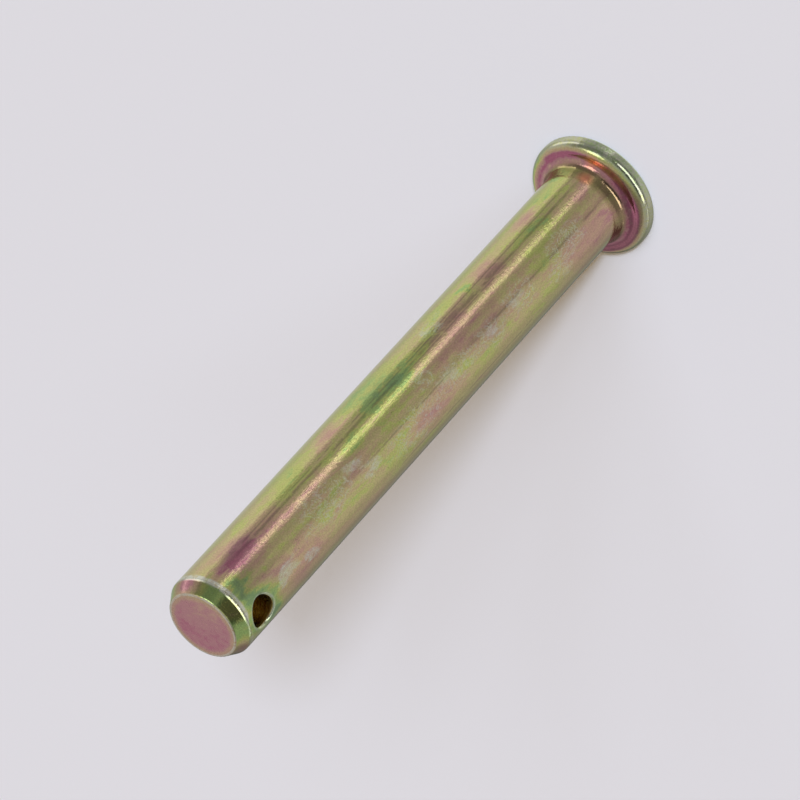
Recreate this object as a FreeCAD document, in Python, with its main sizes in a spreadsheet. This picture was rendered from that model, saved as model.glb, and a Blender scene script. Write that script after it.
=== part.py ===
import FreeCAD, Part
import math
import os
import Sketcher

# Clevis pin, in millimetres: one piece of steel with a round head, a plain shank and a bevelled
# tip that a cotter hole crosses. The pin stands on the flat top of its head with the tip up.
# The origin is the centre of that flat top, +Z runs along the pin from head to tip, and the
# cotter hole runs along X.

NODE = "clevis_pin"

SIZES = {
    # Shank, which fills the bores of the fork and of the eye between its cheeks
    "shank_dia": 16.0,
    "grip_length": 123.3,        # from the seat under the head to the end face of the tip
    # Head: a disc with a rolled rim round a narrow flat seat
    "head_dia": 24.6,
    "head_thickness": 3.5,
    "seat_rim_round": 1.9,       # rim, on the side of the seat
    "top_rim_round": 0.8,        # rim, on the side of the flat top
    # Neck: the shank widens in a long flare, which a tighter fillet carries on into the seat
    "neck_fillet": 1.9,
    "neck_flare": 6.0,           # radius of the flare
    "neck_flare_length": 2.0,    # along the shank
    # Tip: a long bevel that leads the pin into its bores
    "bevel_length": 2.4,         # along the pin
    "bevel_depth": 1.35,         # in from the shank, towards the axis
    "bevel_root_round": 1.2,     # edge between shank and bevel
    "end_face_round": 0.4,       # edge between bevel and end face
    # Cotter hole across the shank, close behind the bevel
    "hole_dia": 5.5,
    "hole_to_end": 6.7,          # from the axis of the hole to the end face
    "hole_mouth_round": 0.45,    # broken edge where the hole leaves the shank
}

# Radii, and heights above the head's flat top, that follow from the sizes
HEAD_R = SIZES["head_dia"] / 2
SHANK_R = SIZES["shank_dia"] / 2
END_R = SHANK_R - SIZES["bevel_depth"]
HOLE_R = SIZES["hole_dia"] / 2
SEAT_Z = SIZES["head_thickness"]
END_Z = SEAT_Z + SIZES["grip_length"]
BEVEL_Z = END_Z - SIZES["bevel_length"]
HOLE_Z = END_Z - SIZES["hole_to_end"]

# The flare turns through this angle before the fillet takes over
FLARE_TURN = math.asin(SIZES["neck_flare_length"] / SIZES["neck_flare"])
FILLET_START_R = SHANK_R + SIZES["neck_flare"] * (1 - math.cos(FLARE_TURN))
FILLET_START_Z = SEAT_Z + SIZES["neck_fillet"] * (1 - math.sin(FLARE_TURN))

TOUCH = 0.001                    # two lengths that differ by less than this are the same


def make_sheet(doc):
    """Writes each driving size into a cell whose alias is the name of that size."""
    sheet = doc.addObject("Spreadsheet::Sheet", "Sizes")
    for row, (name, value) in enumerate(SIZES.items(), start=1):
        sheet.set(f"A{row}", name)
        sheet.set(f"B{row}", str(value))
        sheet.setAlias(f"B{row}", name)
    doc.recompute()


def origin_plane(body, role):
    """One of the body's own origin planes."""
    return next(plane for plane in body.Origin.OriginFeatures if plane.Role == role)


def sketch_on(body, name, role):
    sketch = body.newObject("Sketcher::SketchObject", name)
    sketch.AttachmentSupport = (origin_plane(body, role), [""])
    sketch.MapMode = "FlatFace"
    return sketch


def line(start, end):
    return Part.LineSegment(FreeCAD.Vector(*start, 0), FreeCAD.Vector(*end, 0))


def arc(centre, radius, start_angle, end_angle):
    """An arc that runs anticlockwise from the first angle to the second."""
    circle = Part.Circle(FreeCAD.Vector(*centre, 0), FreeCAD.Vector(0, 0, 1), radius)
    return Part.ArcOfCircle(circle, start_angle, end_angle)


def bind(sketch, name, constraint, expression):
    """Adds a dimension with a name of its own and ties it to the sheet."""
    index = sketch.addConstraint(constraint)
    sketch.renameConstraint(index, name)
    sketch.setExpression(f"Constraints.{name}", expression)


def draw_half_section(body):
    """The pin's half section beside its axis: head at the bottom, tip at the top."""
    sketch = sketch_on(body, "HalfSection", "YZ_Plane")
    seat_inner_r = FILLET_START_R + SIZES["neck_fillet"] * math.cos(FLARE_TURN)
    flare_z = FILLET_START_Z + SIZES["neck_flare_length"]
    top = sketch.addGeometry(line((0, 0), (HEAD_R, 0)), False)
    rim = sketch.addGeometry(line((HEAD_R, 0), (HEAD_R, SEAT_Z)), False)
    seat = sketch.addGeometry(line((HEAD_R, SEAT_Z), (seat_inner_r, SEAT_Z)), False)
    fillet = sketch.addGeometry(arc((seat_inner_r, SEAT_Z + SIZES["neck_fillet"]),
                                    SIZES["neck_fillet"], math.pi + FLARE_TURN, 1.5 * math.pi),
                                False)
    flare = sketch.addGeometry(arc((SHANK_R + SIZES["neck_flare"], flare_z),
                                   SIZES["neck_flare"], math.pi, math.pi + FLARE_TURN), False)
    shank = sketch.addGeometry(line((SHANK_R, flare_z), (SHANK_R, BEVEL_Z)), False)
    bevel = sketch.addGeometry(line((SHANK_R, BEVEL_Z), (END_R, END_Z)), False)
    end_face = sketch.addGeometry(line((END_R, END_Z), (0, END_Z)), False)
    axis = sketch.addGeometry(line((0, END_Z), (0, 0)), False)
    start, end = 1, 2
    origin = (-1, 1)

    for before, after in ((top, rim), (rim, seat), (shank, bevel), (bevel, end_face),
                          (end_face, axis), (axis, top)):
        sketch.addConstraint(Sketcher.Constraint("Coincident", before, end, after, start))
    sketch.addConstraint(Sketcher.Constraint("Tangent", seat, end, fillet, end))
    sketch.addConstraint(Sketcher.Constraint("Tangent", fillet, start, flare, end))
    sketch.addConstraint(Sketcher.Constraint("Tangent", flare, start, shank, start))
    sketch.addConstraint(Sketcher.Constraint("Coincident", top, start, *origin))
    for side in (top, seat, end_face):
        sketch.addConstraint(Sketcher.Constraint("Horizontal", side))
    for side in (rim, shank, axis):
        sketch.addConstraint(Sketcher.Constraint("Vertical", side))

    bind(sketch, "head_r", Sketcher.Constraint("DistanceX", *origin, top, end, HEAD_R),
         "Sizes.head_dia / 2")
    bind(sketch, "shank_r", Sketcher.Constraint("DistanceX", *origin, shank, start, SHANK_R),
         "Sizes.shank_dia / 2")
    bind(sketch, "thickness", Sketcher.Constraint("DistanceY", rim, start, rim, end, SEAT_Z),
         "Sizes.head_thickness")
    bind(sketch, "fillet_r", Sketcher.Constraint("Radius", fillet, SIZES["neck_fillet"]),
         "Sizes.neck_fillet")
    bind(sketch, "flare_r", Sketcher.Constraint("Radius", flare, SIZES["neck_flare"]),
         "Sizes.neck_flare")
    bind(sketch, "flare_along", Sketcher.Constraint("DistanceY", flare, end, flare, start,
                                                    SIZES["neck_flare_length"]),
         "Sizes.neck_flare_length")
    bind(sketch, "grip", Sketcher.Constraint("DistanceY", seat, end, end_face, start,
                                             SIZES["grip_length"]),
         "Sizes.grip_length")
    bind(sketch, "bevel_along", Sketcher.Constraint("DistanceY", bevel, start, bevel, end,
                                                    SIZES["bevel_length"]),
         "Sizes.bevel_length")
    bind(sketch, "bevel_in", Sketcher.Constraint("DistanceX", bevel, end, bevel, start,
                                                 SIZES["bevel_depth"]),
         "Sizes.bevel_depth")
    return sketch


def turn(body, sketch):
    """Turns the half section about the pin's axis."""
    turned = body.newObject("PartDesign::Revolution", "Turned")
    turned.Profile = sketch
    turned.ReferenceAxis = (sketch, ["V_Axis"])
    turned.Angle = 360
    sketch.Visibility = False
    return turned


def drill(body):
    """Drills the cotter hole straight through the shank, along X."""
    sketch = sketch_on(body, "HoleCircle", "YZ_Plane")
    circle = sketch.addGeometry(
        Part.Circle(FreeCAD.Vector(0, HOLE_Z, 0), FreeCAD.Vector(0, 0, 1), HOLE_R), False)
    centre, origin, vertical_axis = 3, (-1, 1), -2
    sketch.addConstraint(Sketcher.Constraint("PointOnObject", circle, centre, vertical_axis))
    bind(sketch, "height", Sketcher.Constraint("DistanceY", *origin, circle, centre, HOLE_Z),
         "Sizes.head_thickness + Sizes.grip_length - Sizes.hole_to_end")
    bind(sketch, "radius", Sketcher.Constraint("Radius", circle, HOLE_R), "Sizes.hole_dia / 2")
    hole = body.newObject("PartDesign::Pocket", "CotterHole")
    hole.Profile = sketch
    hole.Type = "ThroughAll"
    hole.Midplane = True
    sketch.Visibility = False
    return hole


def ring_edges(shape, radius, height):
    """Names of the edges that run round the pin's axis at this radius and height."""
    names = []
    for number, edge in enumerate(shape.Edges, start=1):
        points = edge.discretize(9)
        if all(abs(math.hypot(p.x, p.y) - radius) < TOUCH and abs(p.z - height) < TOUCH
               for p in points):
            names.append(f"Edge{number}")
    return names


def mouth_edges(shape):
    """Names of the edges where the wall of the cotter hole leaves the shank."""
    names = []
    for number, edge in enumerate(shape.Edges, start=1):
        points = edge.discretize(9)
        if all(abs(math.hypot(p.x, p.y) - SHANK_R) < TOUCH
               and abs(math.hypot(p.y, p.z - HOLE_Z) - HOLE_R) < TOUCH for p in points):
            names.append(f"Edge{number}")
    return names


def round_edges(body, name, base, edges, size):
    """Rounds the edges with the radius that the sheet holds under this size."""
    if not edges:
        raise RuntimeError(f"{name}: found no edge to round")
    rounding = body.newObject("PartDesign::Fillet", name)
    rounding.Base = (base, edges)
    rounding.setExpression("Radius", f"Sizes.{size}")
    body.Document.recompute()
    return rounding


def check(doc, bodies):
    """Stops if anything in the document failed to build."""
    for item in doc.Objects:
        if "Invalid" in item.State or "Error" in item.State:
            raise RuntimeError(f"{item.Label} did not build: {item.State}")
    for body in bodies:
        shape = body.Shape
        if shape.isNull() or not shape.isValid() or len(shape.Solids) != 1:
            raise RuntimeError(f"{body.Label} is not one sound solid")


def build_pin(doc):
    body = doc.addObject("PartDesign::Body", "Body")
    body.Label = NODE

    turned = turn(body, draw_half_section(body))
    doc.recompute()
    solid_volume = turned.Shape.Volume
    feature = drill(body)
    doc.recompute()
    core_volume = HOLE_R ** 2 * SIZES["shank_dia"]
    if feature.Shape.Volume > solid_volume - core_volume:
        raise RuntimeError("the cotter hole did not go through the shank")

    feature = round_edges(body, "HoleMouths", feature, mouth_edges(feature.Shape),
                          "hole_mouth_round")
    rings = [
        ("SeatRim", HEAD_R, SEAT_Z, "seat_rim_round"),
        ("TopRim", HEAD_R, 0, "top_rim_round"),
        ("BevelRoot", SHANK_R, BEVEL_Z, "bevel_root_round"),
        ("EndFaceEdge", END_R, END_Z, "end_face_round"),
    ]
    for name, radius, height, size in rings:
        edges = ring_edges(feature.Shape, radius, height)
        feature = round_edges(body, name, feature, edges, size)
    body.Tip = feature
    doc.recompute()
    return body


def main():
    doc = FreeCAD.newDocument("ClevisPin")
    make_sheet(doc)
    pin = build_pin(doc)
    check(doc, [pin])
    os.makedirs("parts", exist_ok=True)
    pin.Shape.exportStep(f"parts/{pin.Label}.step")
    box = pin.Shape.optimalBoundingBox(False)
    print(f"{pin.Label}: {box.XLength:.2f} x {box.YLength:.2f} x {box.ZLength:.2f} mm, "
          f"{pin.Shape.Volume:.0f} mm3, {len(pin.Shape.Faces)} faces")


main()
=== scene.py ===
import math

import bpy
from mathutils import Matrix, Vector

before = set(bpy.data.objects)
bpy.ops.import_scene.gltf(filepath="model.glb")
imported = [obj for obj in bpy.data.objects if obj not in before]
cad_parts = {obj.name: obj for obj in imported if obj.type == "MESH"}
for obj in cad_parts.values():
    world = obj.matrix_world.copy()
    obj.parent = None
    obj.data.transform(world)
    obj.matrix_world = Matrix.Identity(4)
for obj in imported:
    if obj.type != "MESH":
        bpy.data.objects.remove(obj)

# Clevis pin of steel, zinc plated and yellow passivated. It stands on its head on a pale floor.
# The origin is the centre of the head's flat top, +Z runs along the pin to its tip, and the
# cotter hole runs along X. Blender's lengths are metres, and the shaders work in millimetres.

PIN = "clevis_pin"
MM = 0.001

# Heights above the head's flat top and radii of the pin, in millimetres
SHANK_R = 8.0
HEAD_R = 12.3
END_R = 6.65             # end face, inside the bevel
HOLE_R = 2.75
NECK_Z = 6.8             # where the shank starts to widen towards the head
HOLE_Z = 120.1           # axis of the cotter hole
BEVEL_Z = 124.3          # root of the bevel
TIP_Z = 126.8

# Camera: a long lens, tilted so far that the tip of the standing pin comes to the lower left
LENS = 213.6
SENSOR = 36.0
AIM = Vector((-0.67, 0.59, 64.97)) * MM
DISTANCE = 821.2 * MM
CAMERA_TURN = 48.6       # degrees from +X towards +Y
CAMERA_RISE = 36.79
CAMERA_ROLL = 137.78

# Light on the floor: an even warm room and cooler lamps near the camera. Each lamp has its
# angle from the camera towards the left, its rise and spread, and its share of the light
LAMPS = [
    (4.3, 35.0, 6.0, 0.46), (9.0, 36.0, 14.0, 0.17), (19.0, 36.0, 20.0, 0.14),
    (34.0, 38.0, 26.0, 0.11), (-5.0, 38.0, 20.0, 0.12),
]
ROOM_LIGHT = (0.36, 0.27, 0.13)
FLOOR_COLOUR = (0.72, 0.70, 0.74)
FLOOR_SIZE = 12.0


class Value:
    """A socket that Python's operators work on: an expression adds its Math nodes."""

    def __init__(self, finish, socket):
        self.finish = finish
        self.socket = socket

    def __add__(self, other):
        return self.finish.maths("ADD", self, other)

    __radd__ = __add__

    def __sub__(self, other):
        return self.finish.maths("SUBTRACT", self, other)

    def __rsub__(self, other):
        return self.finish.maths("SUBTRACT", other, self)

    def __mul__(self, other):
        return self.finish.maths("MULTIPLY", self, other)

    __rmul__ = __mul__

    def __pow__(self, other):
        return self.finish.maths("POWER", self, other)

    def __abs__(self):
        return self.finish.maths("ABSOLUTE", self)


class Finish:
    """The nodes of one material, or of the world."""

    def __init__(self, owner):
        owner.use_nodes = True
        self.tree = owner.node_tree
        self.tree.nodes.clear()

    def node(self, kind, settings, sockets, output=0):
        """Adds a node, settings first, then the values or links of its sockets."""
        node = self.tree.nodes.new(kind)
        for name, setting in settings.items():
            if name == "stops":
                self.set_stops(node.color_ramp, setting)
            else:
                setattr(node, name, setting)
        for name, given in sockets.items():
            if isinstance(given, Value):
                self.tree.links.new(given.socket, node.inputs[name])
            else:
                node.inputs[name].default_value = given
        return Value(self, node.outputs[output]) if node.outputs else None

    def maths(self, operation, first, second=0.0):
        return self.node("ShaderNodeMath", {"operation": operation}, {0: first, 1: second})

    @staticmethod
    def set_stops(ramp, stops):
        while len(ramp.elements) < len(stops):
            ramp.elements.new(1.0)
        for element, (place, colour) in zip(ramp.elements, stops):
            element.position = place
            element.color = (*colour, 1.0)

    def most(self, largest, *others):
        """The largest of several values."""
        for other in others:
            largest = self.maths("MAXIMUM", largest, other)
        return largest

    def vector(self, operation, *given):
        output = "Value" if operation == "LENGTH" else "Vector"
        return self.node("ShaderNodeVectorMath", {"operation": operation},
                         dict(enumerate(given)), output)

    def split(self, vector):
        """The three numbers of a vector."""
        node = self.node("ShaderNodeSeparateXYZ", {}, {0: vector}).socket.node
        return [Value(self, output) for output in node.outputs]

    def fade(self, value, start, end, low=0.0, high=1.0):
        """Goes smoothly from low to high while the value goes from start to end."""
        return self.node("ShaderNodeMapRange", {"interpolation_type": "SMOOTHSTEP"},
                         {0: value, 1: start, 2: end, 3: low, 4: high})

    def blend(self, share, under, over):
        """A colour between two: over covers the given share of under."""
        return self.node("ShaderNodeMix", {"data_type": "RGBA"},
                         {0: share, 6: self.colour(under), 7: self.colour(over)}, 2)

    def tint(self, colour, other):
        """One colour multiplied by another."""
        return self.node("ShaderNodeMix", {"data_type": "RGBA", "blend_type": "MULTIPLY"},
                         {0: 1.0, 6: self.colour(colour), 7: self.colour(other)}, 2)

    @staticmethod
    def colour(given):
        return given if isinstance(given, Value) else (*given, 1.0)

    def noise(self, place, scale, detail, rough, twist=0.0, output="Fac"):
        return self.node("ShaderNodeTexNoise", {},
                         {"Vector": place, "Scale": scale, "Detail": detail,
                          "Roughness": rough, "Distortion": twist}, output)

    def ramp(self, value, stops, kind="LINEAR"):
        node = self.node("ShaderNodeValToRGB", {"stops": stops}, {0: value}).socket.node
        node.color_ramp.interpolation = kind
        return Value(self, node.outputs[0])


def on_shank(turn, height):
    """The point of the shank at this angle from the camera's side, + to its right."""
    angle = math.radians(CAMERA_TURN - turn)
    return (SHANK_R * math.cos(angle), SHANK_R * math.sin(angle), height)


# Each spot on the pin has its angle from the camera's side in degrees, + to its right, its
# height, half width and half length in millimetres, and its strength. A stain's strength is how
# far it shifts the film's colour, from green (-) through olive yellow to pink and mauve (+)
STAINS = [
    (-50, 97, 2.6, 10.0, -0.12), (-50, 71, 3.0, 11.0, -0.20), (-28, 71, 2.8, 11.0, -0.29),
    (-26, 66, 1.6, 4.0, -0.12), (-12, 78, 2.2, 14.0, -0.13), (-50, 49, 2.2, 5.0, -0.12),
    (-46, 42.5, 1.8, 1.6, -0.30), (-54, 13, 3.6, 7.5, -0.22), (44, 32, 3.4, 9.0, -0.16),
    (44, 50, 2.4, 6.0, -0.10), (34, 82, 2.8, 9.5, -0.08), (3, 121.6, 4.2, 3.2, -0.38),
    (66, 117, 1.8, 3.6, -0.34), (-57, 112, 1.6, 5.0, -0.10), (-31, 22, 2.2, 8.0, -0.24),
    (6, 116, 0.9, 3.0, -0.20), (24, 99, 1.6, 4.0, -0.08), (-2, 24, 2.6, 8.0, -0.18),
    (4, 98, 2.6, 9.0, -0.08), (-66, 60, 3.0, 70.0, -0.06), (8, 80, 3.6, 13.0, -0.12),
    (55, 74, 2.4, 16.0, -0.12), (-30, 100, 2.2, 6.0, -0.14), (-22, 60, 2.8, 4.0, -0.12),
    (-21, 117.5, 4.2, 8.5, 0.34), (-26, 114, 3.0, 9.0, 0.20), (17, 115, 2.4, 5.5, 0.36),
    (46, 108, 5.0, 9.0, 0.24), (-3, 121, 3.0, 3.4, -0.16), (5, 11, 2.4, 4.5, 0.14),
    (-16, 106, 2.0, 9.0, 0.18), (-48, 84, 2.6, 5.5, 0.30), (-14, 98, 2.0, 7.0, 0.10),
    (38, 67, 3.4, 10.0, 0.18), (-14, 53, 3.6, 7.0, 0.18), (12, 46, 4.0, 8.5, 0.18),
    (-38, 36, 3.0, 6.0, 0.26), (12, 36, 3.4, 6.0, 0.16), (-52, 21, 2.0, 5.0, 0.24),
    (38, 15, 5.4, 11.0, 0.30), (-14, 9.5, 1.8, 3.8, 0.28), (-30, 48, 2.4, 8.0, 0.12),
    (-18, 38, 2.2, 7.0, 0.16), (64, 92, 3.0, 12.0, 0.12), (12, 62, 7.0, 80.0, 0.08),
    (70, 62, 4.5, 80.0, 0.05), (-52, 116, 1.8, 8.0, 0.16),
    (110, 96, 3.4, 12.0, -0.20), (150, 70, 3.6, 11.0, 0.24), (-120, 40, 3.6, 12.0, -0.24),
    (-155, 103, 3.2, 9.0, 0.26), (-100, 78, 3.0, 8.0, 0.22), (175, 28, 3.6, 10.0, -0.20),
    (115, 44, 3.0, 8.0, 0.28), (-140, 17, 3.0, 7.0, 0.24),
]
BEVEL_STAINS = [
    (-62, 125.5, 4.4, 3.0, 0.70), (15, 125.5, 2.6, 3.0, 0.22), (88, 125.5, 4.2, 3.0, 0.55),
    (170, 125.5, 4.2, 3.0, 0.45),
]

# Fine lines that the die left along the bar: angle, bottom, top and half width
DIE_LINES = [
    (-36.5, 8, 66, 0.24), (-31.0, 33, 62, 0.50), (-33.0, 50, 118, 0.24),
    (-27.0, 10, 116, 0.40), (-23.0, 30, 66, 0.24),
    (13.0, 8, 50, 0.30), (16.0, 58, 88, 0.24), (58.0, 30, 80, 0.24),
    (98.0, 12, 110, 0.34), (104.0, 30, 90, 0.22), (151.0, 9, 118, 0.34), (-102.0, 12, 96, 0.30),
    (-146.0, 20, 116, 0.34), (-151.0, 9, 70, 0.22), (178.0, 40, 112, 0.24),
]

# Pale scuffs where the plating was rubbed, and places with fine curly scratches
SMEARS = [
    (33, 112.0, 2.2, 4.8, 1.45), (42, 106.0, 1.5, 1.9, 1.25), (6, 87.6, 2.0, 2.8, 1.0),
    (26, 85.0, 2.0, 3.9, 1.0), (21, 59.5, 1.8, 4.5, 1.0), (-45, 54.5, 1.6, 2.4, 1.0),
    (20, 46.0, 2.0, 3.4, 1.0), (17, 37.6, 2.1, 2.9, 1.0), (130, 60.0, 2.4, 4.2, 1.0),
    (-130, 88.0, 2.1, 3.9, 1.0), (170, 101.0, 1.9, 3.9, 1.0),
]
CURLS = [
    (22, 57.0, 2.9, 8.5, 1.0), (24, 46.0, 3.4, 5.8, 1.0), (18, 36.0, 3.4, 6.0, 1.0),
    (13, 20.0, 3.4, 7.8, 1.0), (12, 97.0, 3.9, 10.5, 1.0), (32, 72.0, 4.2, 10.5, 1.0),
    (-6, 64.0, 2.6, 3.9, 1.0), (-42, 53.0, 2.6, 4.7, 1.0), (36, 24.0, 2.9, 5.2, 1.0),
    (-165, 50.0, 3.6, 9.0, 1.0), (-95, 24.0, 3.4, 6.5, 1.0), (105, 84.0, 3.6, 9.0, 1.0),
]

# Greyer places, partly a greyer film and partly painted shade
GREY_FILM_AND_SHADE = [
    (20, 117.5, 5.5, 7.5, 0.24), (-2, 120.5, 3.4, 3.4, 0.24), (-31, 115, 2.0, 6.0, 0.24),
    (-36, 71, 2.6, 10.0, 0.20), (18, 46, 4.0, 8.0, 0.20), (16, 22, 3.6, 12.0, 0.12),
    (-30, 20, 2.0, 8.0, 0.16),
]

# Colours of the plating's film as it thickens
FILM = [
    (0.00, (0.28, 0.43, 0.19)),
    (0.16, (0.39, 0.54, 0.19)),
    (0.32, (0.55, 0.57, 0.19)),
    (0.46, (0.60, 0.51, 0.25)),
    (0.60, (0.61, 0.44, 0.27)),
    (0.74, (0.59, 0.37, 0.28)),
    (0.87, (0.53, 0.26, 0.28)),
    (1.00, (0.48, 0.16, 0.24)),
]

# Colours of painted shade in the corner and on the seat, of lines and pits, and of greyer places
CORNER_SHADE = (0.22, 0.15, 0.06)
SEAT_SHADE = (0.10, 0.07, 0.05)
LINE_SHADE = (0.16, 0.13, 0.09)
PIT_SHADE = (0.12, 0.10, 0.06)
GREY_FILM_AND_SHADE_COLOUR = (0.16, 0.14, 0.11)

# Two red spots of painted reflection by the head, and paler zinc where the film is worn
REFLECTION_RED = (0.90, 0.32, 0.18)
EDGE_ZINC = (0.72, 0.72, 0.62)
RIM_ZINC = (0.56, 0.55, 0.46)
SCUFF_ZINC = (0.52, 0.58, 0.48)

# Drilling marks in the cotter hole
BORE_BROWNS = [
    (0.35, (0.34, 0.17, 0.07)),
    (0.50, (0.55, 0.42, 0.14)),
    (0.65, (0.62, 0.58, 0.26)),
]


def turn_of(finish, x, y):
    """The angle round the pin from the camera's side in degrees, + to its right."""
    ahead = math.radians(CAMERA_TURN)
    towards = x * math.cos(ahead) + y * math.sin(ahead)
    aside = x * math.sin(ahead) - y * math.cos(ahead)
    return finish.maths("ARCTAN2", aside, towards) * math.degrees(1)


def patch(finish, place, centre, wide, long):
    """1 at the centre of a spot on the pin and 0 outside it."""
    away = finish.vector("SUBTRACT", place, centre)
    reach = finish.vector("LENGTH",
                          finish.vector("MULTIPLY", away, (1 / wide, 1 / wide, 1 / long)))
    return finish.fade(reach, 1.15, 0.15)


def spots(finish, place, where):
    """All the spots of a list together."""
    together = 0.0
    for turn, height, wide, long, strength in where:
        spot = patch(finish, place, on_shank(turn, height), wide, long)
        together = spot * strength + together
    return together


class Surface:
    """What the plating goes by at each point of the pin, with lengths in millimetres."""

    def __init__(self, finish):
        metres = finish.node("ShaderNodeTexCoord", {}, {}, "Object")
        self.place = finish.vector("MULTIPLY", metres, (1 / MM, 1 / MM, 1 / MM))
        x, y, z = finish.split(self.place)
        self.z = z
        self.radius = (x * x + y * y) ** 0.5
        self.off_bore = (y * y + (z - HOLE_Z) ** 2) ** 0.5
        self.turn = turn_of(finish, x, y)

        # Noise from broad to fine, most of it longer along the pin than round it
        drawn = finish.vector("MULTIPLY", self.place, (1, 1, 0.03))
        smeared = finish.vector("MULTIPLY", self.place, (1, 1, 0.34))
        rubbed = finish.vector("MULTIPLY", self.place, (1, 1, 0.6))
        self.clouds = finish.noise(smeared, 0.24, 3.0, 0.55, 0.5)
        self.mottle = finish.noise(smeared, 0.8, 3.0, 0.55, 0.6)
        self.ragged = finish.noise(rubbed, 0.9, 5.0, 0.65, 1.0)
        self.blotch = finish.noise(self.place, 1.5, 3.0, 0.6, 0.5)
        self.streaks = finish.noise(drawn, 2.6, 3.0, 0.6)
        self.grain = finish.noise(self.place, 4.2, 3.0, 0.7)

        # The same point moved a little either way, which gives a spot a ragged outline
        wander = finish.noise(smeared, 0.5, 3.0, 0.6, 0.0, "Color")
        wander = finish.vector("SUBTRACT", wander, (0.5, 0.5, 0.5))
        wander = finish.vector("MULTIPLY", wander, (3.6, 3.6, 10.0))
        self.strayed = finish.vector("ADD", self.place, wander)
        self.wavy_turn = self.turn + (self.clouds - 0.5) * 2.4

        # Which part of the pin it is on
        self.bevel = (finish.fade(z, BEVEL_Z - 0.3, BEVEL_Z + 0.3)
                      * finish.fade(self.radius, END_R - 0.35, END_R + 0.05))
        self.end_face = finish.fade(z, TIP_Z - 0.15, TIP_Z - 0.02)
        self.bore = finish.fade(self.off_bore, HOLE_R + 0.12, HOLE_R + 0.02)
        self.head = (finish.fade(z, NECK_Z - 0.8, NECK_Z - 2.6)
                     * finish.fade(self.radius, SHANK_R + 0.1, SHANK_R + 0.6))
        self.rim = finish.fade(self.radius, HEAD_R - 1.0, HEAD_R - 0.2)


def shank_film(finish, at):
    """Clouds, streaks and stains, greener near the cotter hole."""
    calm = finish.fade(abs(at.turn), 32, 52) * finish.fade(abs(at.turn), 110, 90)
    film = ((at.clouds - 0.5) * 0.75 + (at.mottle - 0.5) * 0.60 + (at.blotch - 0.5) * 0.25
            + (at.streaks - 0.5) * 0.28 + (at.grain - 0.5) * 0.06) * (1 - calm * 0.45) + 0.45
    film = film + spots(finish, at.strayed, STAINS)
    thickest = 0.75 + finish.fade(at.z, 106, 114) * 0.19 + (at.mottle - 0.5) * 0.4
    film = finish.maths("MINIMUM", film, thickest)
    film = film - finish.fade(at.off_bore, 6.5, 2.9) * 0.28
    neck_shift = finish.fade(at.turn, -50, -28, -0.14, 0.06)
    neck_shift = neck_shift * finish.fade(abs(at.turn), 170, 130)
    return film + finish.fade(at.z, 10.0, 7.4) * neck_shift


def bevel_film(finish, at):
    """Green, with pink, olive and mauve stains round it."""
    return 0.18 + (at.mottle - 0.5) * 0.4 + spots(finish, at.place, BEVEL_STAINS)


def end_face_film(finish, at):
    """Mauve, with a tan spot and a paler edge."""
    tan = patch(finish, at.strayed, (1.5, 4.0, TIP_Z), 6.5, 8.0)
    return (0.92 + (at.mottle - 0.5) * 0.24 - tan * 0.10
            - finish.fade(at.radius, 4.9, 6.3) * 0.22)


def head_film(finish, at):
    """Outwards from the neck olive, then magenta, and green at the rim."""
    right_side = finish.fade(at.turn, -25, 15) * finish.fade(at.turn, 178, 150)
    front = finish.fade(abs(at.turn + 2), 46, 22) * finish.fade(at.radius, 9.4, 10.0)
    far_left = finish.fade(at.turn, -78, -98) * finish.fade(at.radius, 9.8, 10.8)
    return (0.54 + finish.fade(at.radius, 8.3, 8.9) * 0.28
            + finish.fade(at.radius, 9.2, 10.2) * 0.20
            + right_side * finish.fade(at.radius, 10.4, 9.4) * 0.12
            - front * 0.20 - far_left * 0.30
            - finish.fade(at.radius, 10.7, 11.4) * 0.44 - at.rim * 0.26
            + (at.mottle - 0.5) * 0.4)


def film_colour(finish, at):
    """The film's colour by its thickness, with a fine grain of lighter and darker."""
    film = shank_film(finish, at)
    for part, film_of_part in ((at.bevel, bevel_film), (at.end_face, end_face_film),
                               (at.head, head_film)):
        film = film + part * (film_of_part(finish, at) - film)
    colour = finish.ramp(film, FILM, "EASE")
    darker, lighter = (0.86, 0.86, 0.86), (1.08, 1.08, 1.08)
    shades = finish.blend(finish.fade(at.grain, 0.35, 0.65), darker, lighter)
    face_middle = at.end_face * finish.fade(at.radius, 6.2, 5.0)
    return finish.tint(colour, finish.blend(face_middle, shades, lighter))


def die_lines(finish, at):
    """Fine lines along the drawn bar, broken here and there."""
    mm_per_degree = math.radians(SHANK_R)
    lines = 0.0
    for middle, bottom, top, wide in DIE_LINES:
        line = (finish.fade(abs(at.wavy_turn - middle) * mm_per_degree, wide, wide * 0.2)
                * finish.fade(at.z, bottom - 5, bottom + 5)
                * finish.fade(at.z, top + 4, top - 6))
        lines = line + lines
    return lines * finish.fade(at.mottle, 0.34, 0.50)


def darken(finish, at, colour, lines):
    """Painted shade in the corner and on the seat's right side; lines, pits and greyer places.
    """
    # Painted shade: darker in the corner under the head, and on the seat's right side
    corner = finish.fade(at.radius, 9.3, 8.5) * finish.fade(at.z, 7.6, 6.4)
    seat = at.head * finish.fade(at.turn, 40, 72) * finish.fade(at.turn, 178, 150)
    seat = seat * finish.fade(at.radius, 9.2, 9.9) * finish.fade(at.radius, 11.4, 10.6)
    pits = finish.fade(finish.noise(at.place, 2.8, 1.0, 0.5), 0.25, 0.19)
    # Greyer film in places, partly painted shade
    grey_film_and_shade = spots(finish, at.strayed, GREY_FILM_AND_SHADE)
    for share, shade in ((corner * 0.45, CORNER_SHADE), (seat * 0.46, SEAT_SHADE),
                         (lines * 0.38, LINE_SHADE), (pits * 0.6, PIT_SHADE),
                         (grey_film_and_shade, GREY_FILM_AND_SHADE_COLOUR)):
        colour = finish.blend(share, colour, shade)
    return colour


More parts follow.
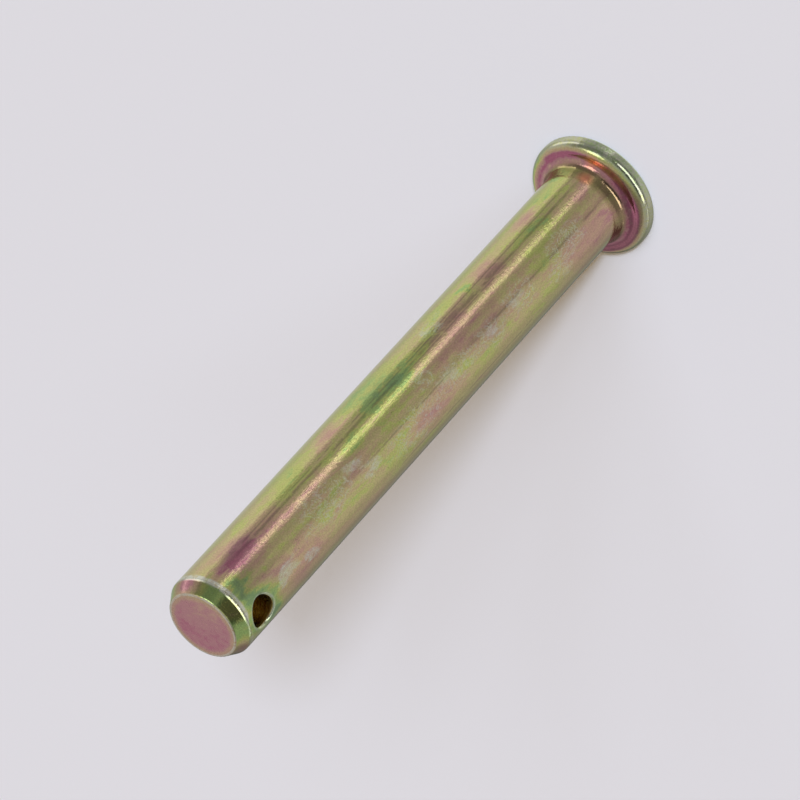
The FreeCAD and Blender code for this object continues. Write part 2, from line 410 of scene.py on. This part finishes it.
def scuffs(finish, at):
    """Rubbed places: smears, fine curls and specks."""
    curly = finish.noise(finish.vector("MULTIPLY", at.place, (1, 1, 0.7)), 0.5, 3.0, 0.6, 2.2)
    smears = finish.fade(spots(finish, at.strayed, SMEARS) + (at.ragged - 0.5) * 2.0, 0.30, 1.15)
    smears = smears * finish.fade(curly, 0.40, 0.58, 0.60, 1.0)
    smears = smears * finish.fade(at.grain, 0.30, 0.62, 0.28, 0.62)
    curls = finish.fade(abs(curly - 0.5), 0.045, 0.010) * finish.fade(at.ragged, 0.26, 0.46)
    curls = curls * finish.fade(spots(finish, at.strayed, CURLS), 0.1, 0.7)
    specks = finish.fade(finish.noise(at.place, 3.4, 2.0, 0.5), 0.73, 0.78)
    return finish.most(smears, curls * 0.40, specks * 0.45)


def worn_edges(finish, at):
    """The root of the bevel, the lip of the cotter hole and the edge of the end face."""
    root = finish.fade(abs(at.z - (BEVEL_Z - 0.3)), 0.8, 0.3)
    root = root * finish.fade(at.off_bore, 3.9, 4.3)
    root = root * (1 - finish.fade(at.wavy_turn, 28, 50) * 0.5)
    lip = finish.fade(at.off_bore, 3.5, 2.95) * finish.fade(at.radius, 7.0, 7.3)
    face_edge = (finish.fade(abs(at.radius - (END_R - 0.2)), 0.32, 0.1)
                 * finish.fade(at.z, TIP_Z - 0.6, TIP_Z - 0.3))
    edges = finish.most(root * 0.9, lip * 0.6, face_edge * 0.65)
    return edges * finish.fade(at.ragged, 0.32, 0.52)


def make_plating():
    material = bpy.data.materials.new("yellow_zinc_plating")
    finish = Finish(material)
    at = Surface(finish)
    lines = die_lines(finish, at)
    scuffed = scuffs(finish, at)
    edges = worn_edges(finish, at)
    rim_wear = at.head * at.rim * finish.fade(at.blotch, 0.30, 0.62, 0.30, 0.85)
    # Painted reflection: a red spot where the shank meets the neck and one on the seat
    red_reflection = (patch(finish, at.place, on_shank(-22, NECK_Z - 0.8), 1.9, 1.6)
              + patch(finish, at.place, (2.9, 9.5, 3.6), 1.7, 1.5) * at.head)
    rings = finish.noise(finish.vector("MULTIPLY", at.place, (5.0, 0.6, 0.6)), 1.0, 3.0, 0.6)

    colour = darken(finish, at, film_colour(finish, at), lines)
    for share, over in ((red_reflection * 0.7, REFLECTION_RED), (edges, EDGE_ZINC), (rim_wear, RIM_ZINC),
                        (scuffed, SCUFF_ZINC), (at.bore, finish.ramp(rings, BORE_BROWNS))):
        colour = finish.blend(share, colour, over)
    roughness = (0.06 + finish.fade(at.mottle, 0.35, 0.70) * 0.05 + scuffed * 0.25
                 + at.end_face * 0.18 + edges * 0.16 + rim_wear * 0.10 + at.bore * 0.20)

    # Heights in thousandths of a millimetre
    height = (at.streaks * 8.0 + at.grain * 9.0 + at.blotch * 22.0 - lines * 4.0
              + at.end_face * finish.noise(at.place, 7.0, 3.0, 0.7) * 4.0)
    bump = finish.node("ShaderNodeBump", {}, {"Strength": 1.0, "Distance": MM / 1000,
                                              "Height": height})
    shader = finish.node("ShaderNodeBsdfPrincipled", {},
                         {"Base Color": colour, "Roughness": roughness,
                          "Metallic": 1.0 - scuffed * 0.35, "Normal": bump,
                          "Specular Tint": (0.90, 0.94, 0.88, 1.0)})
    finish.node("ShaderNodeOutputMaterial", {}, {"Surface": shader})
    return material


def make_floor():
    bpy.ops.mesh.primitive_plane_add(size=FLOOR_SIZE)
    floor = bpy.context.object
    floor.name = "floor"
    material = bpy.data.materials.new("pale_floor")
    finish = Finish(material)
    shader = finish.node("ShaderNodeBsdfPrincipled", {},
                         {"Base Color": (*FLOOR_COLOUR, 1.0), "Roughness": 0.6,
                          "Specular IOR Level": 0.0})
    finish.node("ShaderNodeOutputMaterial", {}, {"Surface": shader})
    floor.data.materials.append(material)
    floor.visible_glossy = False


# What the metal mirrors round it. Cards stand from one angle to another, measured from the
# camera's side, + to its right, with soft edges, at a level where 1 is white. The low ones are
# mirrored from below the horizon, the high ones from above it and the dome's from overhead
LOW_LEVEL = 0.49
LOW_CARDS = [
    (-178, -77, 4, 0.82), (-178, -122, 16, 0.65), (-74.5, -71, 2, 0.40), (-57, -51, 3, 0.38),
    (-28.8, -22.6, 2, 0.88), (-16, 2, 4, 0.42), (20, 26, 4, 0.42), (34, 92, 12, 0.64),
    (126, 160, 12, 0.34), (156, 184, 8, 0.20),
]
HIGH_LEVEL = 0.45
HIGH_CARDS = [
    (-178, -92, 14, 0.62), (-84, -20, 10, 0.25), (-12, 64, 12, 0.10), (70, 122, 14, 0.48),
]
DOME_LEVEL = 0.50
DOME_CARDS = [(-178, -80, 16, 0.56), (62, 152, 20, 0.26), (166, 184, 8, 0.76)]
TABLE_LEVEL = 0.90       # the floor close by
BELT_SHADE = 0.25        # the belt below the horizon is darker by this share
BELT_SHADE_RIGHT = 0.30  # and by this much more on the right

# Rises in degrees between which one of these gives way to the next
TABLE_RISE = (-62, -75)
BELT_RISE = (-31, -24)
HORIZON_RISE = (-8, 0)
DOME_RISE = (26, 40)

# Windows in it: angle and rise of the middle, half width, half height, softness of the edge
# and level
WINDOWS = [
    (32, 4, 36, 8, 3, 2.4), (-92, -6, 24, 9, 3, 1.3), (-54, 50, 17, 11, 3, 2.2),
    (-30, -35.7, 7, 1.2, 2, 2.5), (-27, -31.8, 6, 2.4, 2, 0.36), (92, -11, 18, 4, 3, 0.95),
    (-21.8, -34.6, 2.2, 1.2, 1, 0.84),
]


def mirrored_level(finish, turn, cards, level):
    """Lays the cards over an even level."""
    for start, end, soft, card in cards:
        inside = (finish.fade(turn, start - soft, start + soft)
                  * finish.fade(turn, end + soft, end - soft))
        level = inside * (card - level) + level
    return level


def make_room():
    """An even room for the floor, and its bright and dark sides for the metal to mirror."""
    world = bpy.data.worlds.new("room")
    finish = Finish(world)
    x, y, z = finish.split(finish.node("ShaderNodeTexCoord", {}, {}, "Generated"))
    turn = turn_of(finish, x, y)
    rise = finish.maths("ARCSINE", z) * math.degrees(1)

    low = mirrored_level(finish, turn, LOW_CARDS, LOW_LEVEL)
    low = low + finish.fade(rise, *TABLE_RISE) * (TABLE_LEVEL - low)
    right_side = finish.fade(turn, -40, 20) * finish.fade(turn, 100, 60)
    belt = BELT_SHADE + right_side * BELT_SHADE_RIGHT
    low = low * (1 - finish.fade(rise, *BELT_RISE) * belt)
    high = mirrored_level(finish, turn, HIGH_CARDS, HIGH_LEVEL)
    dome = mirrored_level(finish, turn, DOME_CARDS, DOME_LEVEL)
    level = low + finish.fade(rise, *HORIZON_RISE) * (high - low)
    level = level + finish.fade(rise, *DOME_RISE) * (dome - level)
    for middle, height, wide, tall, soft, bright in WINDOWS:
        inside = (finish.fade(abs(turn - middle), wide + soft, wide - soft)
                  * finish.fade(abs(rise - height), tall + soft / 2, tall - soft / 2))
        level = level + inside * (bright - level)

    path = finish.node("ShaderNodeLightPath", {}, {}).socket.node
    is_camera = Value(finish, path.outputs["Is Camera Ray"])
    is_glossy = Value(finish, path.outputs["Is Glossy Ray"])
    grey = finish.node("ShaderNodeCombineColor", {}, {0: level, 1: level, 2: level})
    colour = finish.blend(is_glossy, ROOM_LIGHT, grey)
    colour = finish.blend(is_camera, colour, FLOOR_COLOUR)
    shader = finish.node("ShaderNodeBackground", {}, {"Color": colour, "Strength": 1.0})
    finish.node("ShaderNodeOutputWorld", {}, {"Surface": shader})
    world.cycles.sampling_method = "NONE"
    bpy.context.scene.world = world


def direction(turn, rise):
    """The direction at this angle from +X towards +Y and this angle above the floor."""
    turn, rise = math.radians(turn), math.radians(rise)
    return Vector((math.cos(rise) * math.cos(turn), math.cos(rise) * math.sin(turn),
                   math.sin(rise)))


def make_lamps():
    """Lamps for the floor's light and shadow only: the metal mirrors the room.

    Each brings the floor its share of the light that the room leaves to full white.
    """
    for aside, rise, spread, share in LAMPS:
        data = bpy.data.lights.new("lamp", "SUN")
        data.energy = math.pi / math.sin(math.radians(rise))
        data.color = [share * (1 - level) for level in ROOM_LIGHT]
        data.angle = math.radians(spread)
        lamp = bpy.data.objects.new("lamp", data)
        towards = direction(CAMERA_TURN + aside, rise)
        lamp.rotation_euler = towards.to_track_quat("Z", "Y").to_euler()
        lamp.visible_glossy = False
        bpy.context.scene.collection.objects.link(lamp)


def make_camera():
    back = direction(CAMERA_TURN, CAMERA_RISE)
    data = bpy.data.cameras.new("camera")
    data.lens = LENS
    data.sensor_width = SENSOR
    data.clip_start = 0.05
    data.clip_end = 50
    camera = bpy.data.objects.new("camera", data)
    bpy.context.scene.collection.objects.link(camera)
    upright = (-back).to_track_quat("-Z", "Y").to_matrix().to_4x4()
    camera.matrix_world = (Matrix.Translation(AIM + back * DISTANCE) @ upright
                           @ Matrix.Rotation(math.radians(-CAMERA_ROLL), 4, "Z"))
    bpy.context.scene.camera = camera


def main():
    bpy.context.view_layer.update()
    make_camera()
    pin = bpy.data.objects[PIN]
    pin.material_slots[0].material = make_plating()
    make_floor()
    make_room()
    make_lamps()
    bpy.context.scene.view_settings.view_transform = "Standard"


main()
